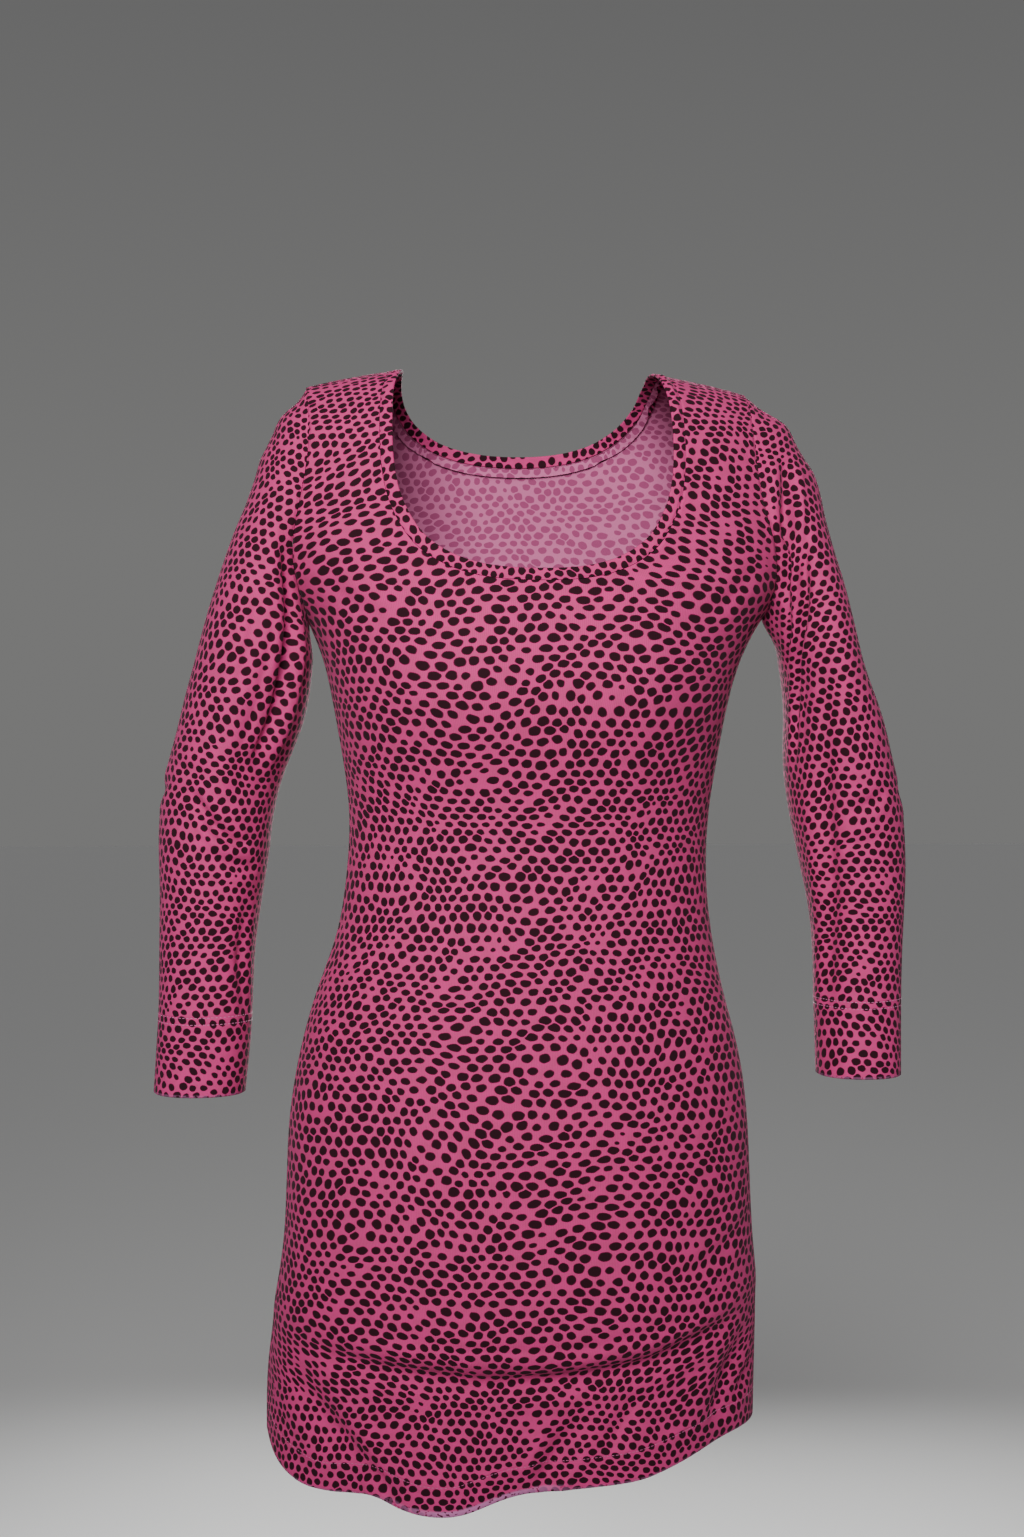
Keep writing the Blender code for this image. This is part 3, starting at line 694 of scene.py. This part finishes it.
def dot_print(tree, flat):
    """How far inside a printed dot a place is, in dot spacings. The dots sit on two crossed
    lattices, together a loose triangular one that wanders, and never touch each other."""
    place = flat
    for scale, reach in WANDERS:
        place = wander(tree, place, scale, reach)
    place = vector_maths(tree, "SCALE", place)
    place.node.inputs["Scale"].default_value = 1 / DOT_SPACING
    inside = []
    for shift in (0.0, 0.5):
        cell = vector_maths(tree, "MULTIPLY_ADD", place, (1, 1 / math.sqrt(3), 0), (shift, shift, 0))
        nearest = add_node(
            tree,
            "ShaderNodeTexVoronoi",
            {"voronoi_dimensions": "2D", "feature": "F1"},
            Vector=cell,
            Scale=1.0,
            Randomness=DOT_JITTER,
        )
        away = vector_maths(tree, "SUBTRACT", cell, nearest.outputs["Position"])
        away = vector_maths(tree, "LENGTH", vector_maths(tree, "MULTIPLY", away, (1, math.sqrt(3), 0)))
        chance = add_node(tree, "ShaderNodeSeparateColor", in0=nearest.outputs["Color"]).outputs[0]
        radius = maths(tree, "MULTIPLY", maths(tree, "POWER", chance, DOT_RADIUS_POWER), DOT_RADIUS)
        inside.append(maths(tree, "SUBTRACT", radius, away))
    larger = maths(tree, "MAXIMUM", *inside)
    other = maths(tree, "ADD", maths(tree, "MINIMUM", *inside), DOT_GAP)
    return maths(tree, "SUBTRACT", larger, maths(tree, "MAXIMUM", other, 0.0))


def knit_wave(tree, flat, direction, pitch, distortion):
    """Fine waves across the cloth, one for each wale or course of the knit."""
    settings = {"wave_type": "BANDS", "bands_direction": direction, "wave_profile": "SIN"}
    scale = math.pi / (10 * pitch)
    links = {"Vector": flat, "Scale": scale, "Distortion": distortion, "Detail": 1.0}
    return add_node(tree, "ShaderNodeTexWave", settings, **links).outputs["Fac"]


def jersey(name, reverse):
    """Printed single jersey: a pink ground with small irregular dark dots, about 5 mm across and
    7 mm apart before the cloth is stretched, fine knitted wales and courses, painted shade in
    the knit's hollows, and a soft bloom. On the reverse the dots only show through."""
    material = bpy.data.materials.new(name)
    material.use_nodes = True
    tree = material.node_tree
    surface = tree.nodes["Principled BSDF"]
    flat = add_node(tree, "ShaderNodeUVMap", {"uv_map": "cloth in metres"}).outputs[0]
    inside = dot_print(tree, flat)
    printed = ramp(tree, inside, -0.035, 0.015)
    heart = ramp(tree, inside, 0.0, 0.08)

    cloud = add_node(tree, "ShaderNodeTexNoise", Vector=flat, Scale=140.0, Detail=2.0).outputs[0]
    fade = ramp(tree, cloud, 0.35, 0.68)
    wale = knit_wave(tree, flat, "X", WALE, 0.6)
    course = knit_wave(tree, flat, "Y", COURSE, 0.8)
    # Painted shade: the ground is mixed towards a darker pink in the knit's hollows, beside the wales and
    # where the courses dip, where shade would fall.
    beside_wale = ramp(tree, wale, 0.45, 0.0, 0, 0.5)
    knit_hollow_shade = maths(tree, "MULTIPLY", beside_wale, ramp(tree, course, 1.0, 0.1, 0.5, 1.0))
    ground = blend_colours(tree, fade, GROUND, GROUND_DULL)
    ground = blend_colours(tree, knit_hollow_shade, ground, GROUND_IN_KNIT_SHADE)
    ink = blend_colours(tree, heart, DOT_THIN, DOT)
    if reverse:
        ground = REVERSE
        ink = REVERSE_DOT
    colour = blend_colours(tree, printed, ground, ink)

    seam, stitch, fold, worn = (
        add_node(tree, "ShaderNodeAttribute", {"attribute_name": name}).outputs["Fac"]
        for name in ("seam", "stitch", "fold", "worn")
    )
    flat_noise = {"noise_dimensions": "2D"}
    tick = add_node(tree, "ShaderNodeTexNoise", flat_noise, Vector=flat, Scale=380.0, Detail=1.0)
    scrape = maths(tree, "MULTIPLY", worn, ramp(tree, fold, 0.0046, 0.0026))
    scrape = maths(tree, "MAXIMUM", scrape, ramp(tree, fold, 0.0016, 0.0004, 0, 0.35))
    edge_colour = blend_colours(tree, ramp(tree, tick.outputs[0], 0.6, 0.66), WORN_EDGE, DOT_THIN)
    colour = blend_colours(tree, scrape, colour, edge_colour)
    tree.links.new(colour, surface.inputs["Base Color"])

    place = add_node(tree, "ShaderNodeTexCoord").outputs["Object"]
    pucker = add_node(tree, "ShaderNodeTexNoise", Vector=place, Scale=150.0, Detail=1.5).outputs[0]
    near_seam = maths(tree, "MAXIMUM", ramp(tree, seam, 0.009, 0.001), ramp(tree, stitch, 0.006, 0.0005))
    bumps = maths(tree, "MULTIPLY", maths(tree, "MULTIPLY", pucker, near_seam), 0.0011)
    at_seam = ramp(tree, seam, 0.0, 0.0022, -0.0006, 0)
    groove = maths(tree, "ADD", at_seam, ramp(tree, stitch, 0.0, 0.0016, -0.0004, 0))
    loops = maths(tree, "MULTIPLY_ADD", wale, 0.00007, maths(tree, "MULTIPLY", course, 0.00003))
    knit = maths(tree, "MULTIPLY_ADD", cloud, 0.00012, loops)
    height = maths(tree, "ADD", maths(tree, "ADD", bumps, groove), knit)
    bump = add_node(tree, "ShaderNodeBump", Strength=0.9, Distance=1.0, Height=height).outputs[0]
    tree.links.new(bump, surface.inputs["Normal"])
    surface.inputs["Roughness"].default_value = 0.88
    surface.inputs["Specular IOR Level"].default_value = 0.12
    surface.inputs["Sheen Weight"].default_value = 0.05
    surface.inputs["Sheen Roughness"].default_value = 0.5
    surface.inputs["Sheen Tint"].default_value = SHEEN_TINT
    return material


FACE_SIDE = jersey("printed jersey, right side", reverse=False)
REVERSE_SIDE = jersey("printed jersey, reverse side", reverse=True)


THREAD_SHADE = linear("943f6a")


def thread(name, code):
    """Spun polyester sewing thread: a round, slightly glossy thread with a fine twist."""
    material = bpy.data.materials.new(name)
    material.use_nodes = True
    tree = material.node_tree
    surface = tree.nodes["Principled BSDF"]
    place = add_node(tree, "ShaderNodeTexCoord").outputs["Object"]
    twist = add_node(tree, "ShaderNodeTexNoise", Vector=place, Scale=2500.0, Detail=1.0).outputs[0]
    tree.links.new(blend_colours(tree, twist, linear(code), THREAD_SHADE), surface.inputs["Base Color"])
    surface.inputs["Roughness"].default_value = 0.6
    surface.inputs["Sheen Weight"].default_value = 0.2
    return material


THREAD = thread("pink polyester sewing thread", "b0608a")
HEM_THREAD = thread("dull pink polyester sewing thread", "9c4570")


WORN_BELOW = -0.7
WORN_FADE = 1.6


def finish_cloth(piece, turned, turn_width, stitch_rows, seams, worn_near=None):
    """Mark seams, stitches and folds for the material, fold and thicken the cloth, and return
    the stitch rows. turned is the folded line, seams the groups of sewn lines."""
    mesh = piece.data
    places = points_of(mesh)
    guide = places[turned]
    fold = distance_to(places, guide[:-1], guide[1:])
    rows = []
    stitch = np.full(len(places), FAR_AWAY)
    for level in stitch_rows:
        row = level_line(piece, fold, level, guide)
        rows.append(row)
        stitch = np.minimum(stitch, distance_to(places, row[0][:-1], row[0][1:]))
    seam = np.full(len(places), FAR_AWAY)
    for line in (line for lines, _ in seams for line in lines):
        on_line = places[line]
        seam = np.minimum(seam, distance_to(places, on_line[:-1], on_line[1:]))
    keep_values(mesh, "seam", seam)
    keep_values(mesh, "stitch", stitch)
    keep_values(mesh, "fold", fold if stitch_rows else stitch)
    worn = np.zeros(len(places))
    if worn_near is not None:
        centre, reach = worn_near
        worn = np.clip(WORN_FADE - WORN_FADE * np.abs(places[:, 0] - centre) / reach, 0, 1)
        worn *= places[:, 2] < WORN_BELOW
    keep_values(mesh, "worn", worn)
    turn_under(piece, turned, turn_width)
    turn_seams(piece, seams)
    for material in (FACE_SIDE, REVERSE_SIDE):
        mesh.materials.append(material)
    thicken(piece)
    return rows


def panel_edges(piece):
    """The line of a panel's hem, the line of its neck, and the other sewn lines."""
    places = points_of(piece.data)
    lines = edge_lines(piece)
    hem = min(lines, key=lambda line: places[line][:, 2].mean())
    sewn = [line for line in lines if line is not hem]
    neck = min(sewn, key=lambda line: abs(places[line][:, 0].mean()))
    return hem, neck, [line for line in sewn if line is not neck]


HEM_RUB = (-0.045, 0.07)
TRUNK_STRETCH = (
    Stretch(-0.82, 0.06, -0.12),
    Stretch(-0.73, 0.08, -0.10),
    Stretch(-0.69, 0.32, 0.05),
    Stretch(-0.60, 0.46, 0.11),
    Stretch(-0.48, 0.42, 0.13),
    Stretch(-0.33, 0.36, 0.15),
    Stretch(-0.24, 0.56, 0.16),
    Stretch(-0.16, 0.78, 0.18),
    Stretch(-0.10, 0.40, 0.08),
    Stretch(-0.06, 0.26, 0.00),
    Stretch(0.00, 0.14, -0.06),
)
FRONT_CREASES = (
    Crease(
        "front", 0.010, (0.003, 0.005, 0.003),
        (
            (-0.160, -0.699), (-0.100, -0.709), (-0.045, -0.716),
            (0.010, -0.715), (0.075, -0.707), (0.150, -0.680),
        ),
    ),
    Crease(
        "front", 0.006, (0.001, 0.002, 0.001),
        ((-0.150, -0.672), (-0.060, -0.690), (0.030, -0.690), (0.120, -0.672)),
    ),
    Crease("front", 0.016, (0.002, 0.009, 0.006), ((-0.176, -0.710), (-0.150, -0.750), (-0.120, -0.795))),
    Crease("front", 0.008, (0.001, 0.004, 0.003), ((-0.150, -0.740), (-0.125, -0.770), (-0.100, -0.797))),
    Crease("front", 0.011, (0.001, 0.006, 0.005), ((0.030, -0.735), (0.016, -0.755), (-0.004, -0.790))),
    Crease("front", 0.009, (0.001, 0.003, 0.002), ((0.070, -0.725), (0.058, -0.745), (0.040, -0.765))),
    Crease("front", 0.014, (0.001, 0.006, 0.005), ((0.160, -0.690), (0.138, -0.725), (0.127, -0.760))),
    Crease("front", 0.007, (0.001, 0.004, 0.002), ((0.165, -0.715), (0.150, -0.735), (0.140, -0.752))),
    Crease("front", 0.008, (0.001, 0.002, 0.001), ((0.165, -0.610), (0.120, -0.640), (0.070, -0.655))),
    Crease("front", 0.009, (0.001, 0.002, 0.001), ((-0.150, -0.150), (-0.135, -0.170), (-0.110, -0.185))),
    Crease("front", 0.008, (0.001, 0.002, 0.001), ((0.160, -0.140), (0.140, -0.165), (0.115, -0.180))),
)
front = outer_cloth("front", "front_panel", (0, -1, 0))
refine(front, 2)
front_hem, front_neck, front_sides = panel_edges(front)
front_seams = [(front_sides, OPEN_SEAM), ([front_neck], NECK_SEAM)]
crease(front, FRONT_CREASES, front_sides + [front_neck])
lay_flat(front, (1, 0, 0), TRUNK_STRETCH)
front_rows = finish_cloth(front, front_hem, HEM_TURN, (HEM_STITCHES,), front_seams, HEM_RUB)
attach(front, "root")
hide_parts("front")


# ---------------------------------------------------------------------------------------------
# Back panel: the same jersey, cut higher at the neck and seen here from inside through the
# neck. It carries the back of the hem, which is a little shorter than the front.
BACK_CREASES = (
    Crease(
        "back", 0.010, (0.002, 0.004, 0.002),
        ((-0.150, -0.690), (-0.070, -0.709), (0.000, -0.712), (0.090, -0.706), (0.150, -0.682)),
    ),
    Crease(
        "back", 0.011, (0.001, 0.004, 0.001),
        ((-0.100, -0.360), (-0.030, -0.345), (0.050, -0.350), (0.100, -0.370)),
    ),
    Crease("back", 0.009, (0.001, 0.003, 0.001), ((-0.080, -0.322), (0.000, -0.310), (0.070, -0.320))),
    Crease("back", 0.009, (0.001, 0.002, 0.001), ((-0.060, -0.392), (0.010, -0.385), (0.060, -0.395))),
    Crease("back", 0.014, (0.001, 0.005, 0.004), ((-0.110, -0.730), (-0.098, -0.760), (-0.090, -0.785))),
    Crease("back", 0.012, (0.001, 0.005, 0.004), ((0.050, -0.735), (0.058, -0.760), (0.052, -0.785))),
    Crease("back", 0.010, (0.001, 0.003, 0.001), ((-0.150, -0.120), (-0.125, -0.165), (-0.085, -0.190))),
    Crease("back", 0.010, (0.001, 0.003, 0.001), ((0.150, -0.115), (0.130, -0.160), (0.090, -0.190))),
)
back = outer_cloth("back", "back_panel", (0, 1, 0))
refine(back, 2)
back_hem, back_neck, back_sides = panel_edges(back)
back_seams = [(back_sides, OPEN_SEAM), ([back_neck], NECK_SEAM)]
crease(back, BACK_CREASES, back_sides + [back_neck])
lay_flat(back, (1, 0, 0), TRUNK_STRETCH)
back_rows = finish_cloth(back, back_hem, HEM_TURN, (HEM_STITCHES,), back_seams)
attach(back, "root")
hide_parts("back")


# ---------------------------------------------------------------------------------------------
# Sleeves: two set-in sleeves of the same jersey, each one piece with a seam under the arm. The
# lower edge is turned up deep inside and held by two rows of stitches.
CUFF_TURN = 0.056
CUFF_STITCHES = (0.0500, 0.0548)


def cut_under_arm(piece):
    """Mark the seam under the arm, from the lowest point of the sleeve head to the lower edge."""
    bm = bmesh.new()
    bm.from_mesh(piece.data)
    head = max(edge_loops(bm), key=lambda loop: max(v.co.z for v in loop))
    here = min(head, key=lambda v: v.co.z)
    edge = next(e for e in here.link_edges if not e.is_boundary)
    while True:
        edge.seam = True
        here = edge.other_vert(here)
        if here.is_boundary:
            break
        beside = {f for f in edge.link_faces}
        edge = next(e for e in here.link_edges if not beside & set(e.link_faces))
    bm.to_mesh(piece.data)
    bm.free()


def make_sleeve(node, name, outward, creases, stretch):
    """One sleeve with its cuff, and the rows of stitches that hold the cuff."""
    piece = outer_cloth(node, name, outward)
    cut_under_arm(piece)
    refine(piece, 3)
    lines = edge_lines(piece)
    cuff = min(lines, key=lambda line: points_of(piece.data)[line][:, 2].mean())
    head = [line for line in lines if line is not cuff]
    crease(piece, creases, head)
    lay_flat(piece, (0, 1, 0), stretch)
    rows = finish_cloth(piece, cuff, CUFF_TURN, CUFF_STITCHES, [(head, OPEN_SEAM)])
    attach(piece, "root")
    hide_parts(node)
    return rows


LEFT_CREASES = (
    Crease(
        "front", 0.009, (0.003, 0.010, 0.006),
        (
            (-0.179, -0.112), (-0.176, -0.150), (-0.173, -0.185),
            (-0.175, -0.210), (-0.184, -0.252), (-0.201, -0.292),
        ),
    ),
    Crease(
        "front", 0.016, (0.001, 0.005, 0.003),
        ((-0.186, -0.190), (-0.194, -0.240), (-0.207, -0.285), (-0.214, -0.320)),
    ),
    Crease("front", 0.007, (0.001, 0.003, 0.002), ((-0.196, -0.140), (-0.200, -0.185), (-0.213, -0.235))),
    Crease(
        "front", 0.006, (0.003, 0.006, 0.004),
        ((-0.246, -0.304), (-0.235, -0.318), (-0.229, -0.330), (-0.221, -0.337), (-0.205, -0.343)),
    ),
    Crease("front", 0.007, (0.001, 0.003, 0.002), ((-0.240, -0.345), (-0.220, -0.356), (-0.198, -0.358))),
    Crease("front", 0.007, (0.001, 0.002, 0.001), ((-0.262, -0.280), (-0.245, -0.290), (-0.225, -0.292))),
    Crease("front", 0.008, (0.001, 0.003, 0.001), ((-0.205, -0.375), (-0.210, -0.420), (-0.207, -0.470))),
    Crease("back", 0.009, (0.002, 0.005, 0.002), ((-0.185, -0.130), (-0.195, -0.190), (-0.215, -0.250))),
    Crease("back", 0.008, (0.002, 0.004, 0.002), ((-0.262, -0.300), (-0.235, -0.318), (-0.205, -0.322))),
    Crease("back", 0.008, (0.001, 0.003, 0.001), ((-0.258, -0.330), (-0.232, -0.345), (-0.208, -0.346))),
    Crease("left", 0.009, (0.001, 0.002, 0.001), ((-0.030, -0.290), (-0.005, -0.305), (0.025, -0.300))),
    Crease(
        "left", 0.030, (-0.001, -0.003, -0.001),
        ((-0.050, -0.065), (-0.020, -0.055), (0.015, -0.055), (0.045, -0.065)),
    ),
    Crease(
        "left", 0.016, (-0.002, -0.003, -0.002),
        ((-0.045, -0.048), (-0.020, -0.034), (0.010, -0.032), (0.040, -0.043)),
    ),
)
RIGHT_CREASES = (
    Crease(
        "front", 0.0070, (0.006, 0.011, 0.007),
        ((0.1865, -0.060), (0.186, -0.090), (0.185, -0.117), (0.1845, -0.140), (0.186, -0.165)),
    ),
    Crease(
        "front", 0.0065, (0.003, 0.009, 0.004),
        (
            (0.197, -0.105), (0.196, -0.135), (0.198, -0.161),
            (0.196, -0.196), (0.199, -0.225), (0.198, -0.290),
        ),
    ),
    Crease("front", 0.005, (0.002, 0.004, 0.002), ((0.188, -0.155), (0.191, -0.185), (0.194, -0.212))),
    Crease(
        "front", 0.012, (0.002, 0.005, 0.003),
        (
            (0.210, -0.190), (0.212, -0.229), (0.213, -0.265),
            (0.216, -0.320), (0.220, -0.384), (0.217, -0.470),
        ),
    ),
    Crease("front", 0.007, (0.001, 0.003, 0.001), ((0.262, -0.300), (0.245, -0.316), (0.228, -0.318))),
    Crease("front", 0.007, (0.001, 0.002, 0.001), ((0.258, -0.335), (0.242, -0.345), (0.226, -0.342))),
    Crease("back", 0.009, (0.002, 0.005, 0.002), ((0.195, -0.110), (0.205, -0.180), (0.222, -0.250))),
    Crease("back", 0.008, (0.002, 0.004, 0.002), ((0.272, -0.305), (0.245, -0.322), (0.218, -0.325))),
    Crease("back", 0.008, (0.001, 0.003, 0.001), ((0.268, -0.338), (0.240, -0.352), (0.220, -0.350))),
    Crease("right", 0.009, (0.001, 0.003, 0.001), ((-0.028, -0.300), (0.000, -0.312), (0.030, -0.305))),
    Crease(
        "right", 0.040, (-0.002, -0.005, -0.002),
        ((-0.050, -0.080), (-0.020, -0.070), (0.015, -0.070), (0.045, -0.080)),
    ),
    Crease(
        "right", 0.018, (-0.002, -0.004, -0.002),
        ((-0.045, -0.048), (-0.020, -0.036), (0.010, -0.034), (0.040, -0.044)),
    ),
)
SLEEVE_STRETCH = (Stretch(-0.5, 0.22, 0.05), Stretch(0.0, 0.14, 0.0))
left_rows = make_sleeve("sleeve_left", "left_sleeve", (-1, 0, 0), LEFT_CREASES, SLEEVE_STRETCH)
right_rows = make_sleeve("sleeve_right", "right_sleeve", (1, 0, 0), RIGHT_CREASES, SLEEVE_STRETCH)


# ---------------------------------------------------------------------------------------------
# Neck binding: a narrow strip of the same jersey, folded in half along its length and sewn
# round the neck with its fold towards the neck.
BINDING_SEAM = (SeamFold(0.0022, 0.0), SeamFold(0.0024, 0.0055))
BINDING_TURN = 0.0084
BINDING_STRETCH = (Stretch(-1, 0.05, 0.05), Stretch(0, 0.05, 0.05))


def make_binding():
    """The folded strip."""
    piece = outer_cloth("neck_binding", "neckline_binding", (0, -1, 0))
    bm = bmesh.new()
    bm.from_mesh(piece.data)
    across = [e for e in bm.edges if not e.is_boundary]
    bmesh.ops.subdivide_edges(bm, edges=across, cuts=3, use_grid_fill=True)
    bm.to_mesh(piece.data)
    bm.free()
    return piece


binding = make_binding()
lay_flat(binding, (0, 1, 0), BINDING_STRETCH)
refine(binding, 1)
binding_points = points_of(binding.data)
binding_lines = sorted(
    edge_lines(binding),
    key=lambda line: np.linalg.norm(np.diff(binding_points[line], axis=0), axis=1).sum(),
)
finish_cloth(binding, binding_lines[0], BINDING_TURN, (), [([binding_lines[1]], BINDING_SEAM)])
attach(binding, "root")
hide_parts("neck_binding")


# ---------------------------------------------------------------------------------------------
# Stitching: pink polyester thread, one row round the hem and two rows round each cuff.
hem_thread = sew("hem_stitches", front_rows + back_rows)
cuff_thread = sew("cuff_stitches", left_rows + right_rows, closed=True)
for piece, material in ((hem_thread, HEM_THREAD), (cuff_thread, THREAD)):
    piece.data.materials.append(material)
    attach(piece, "root")
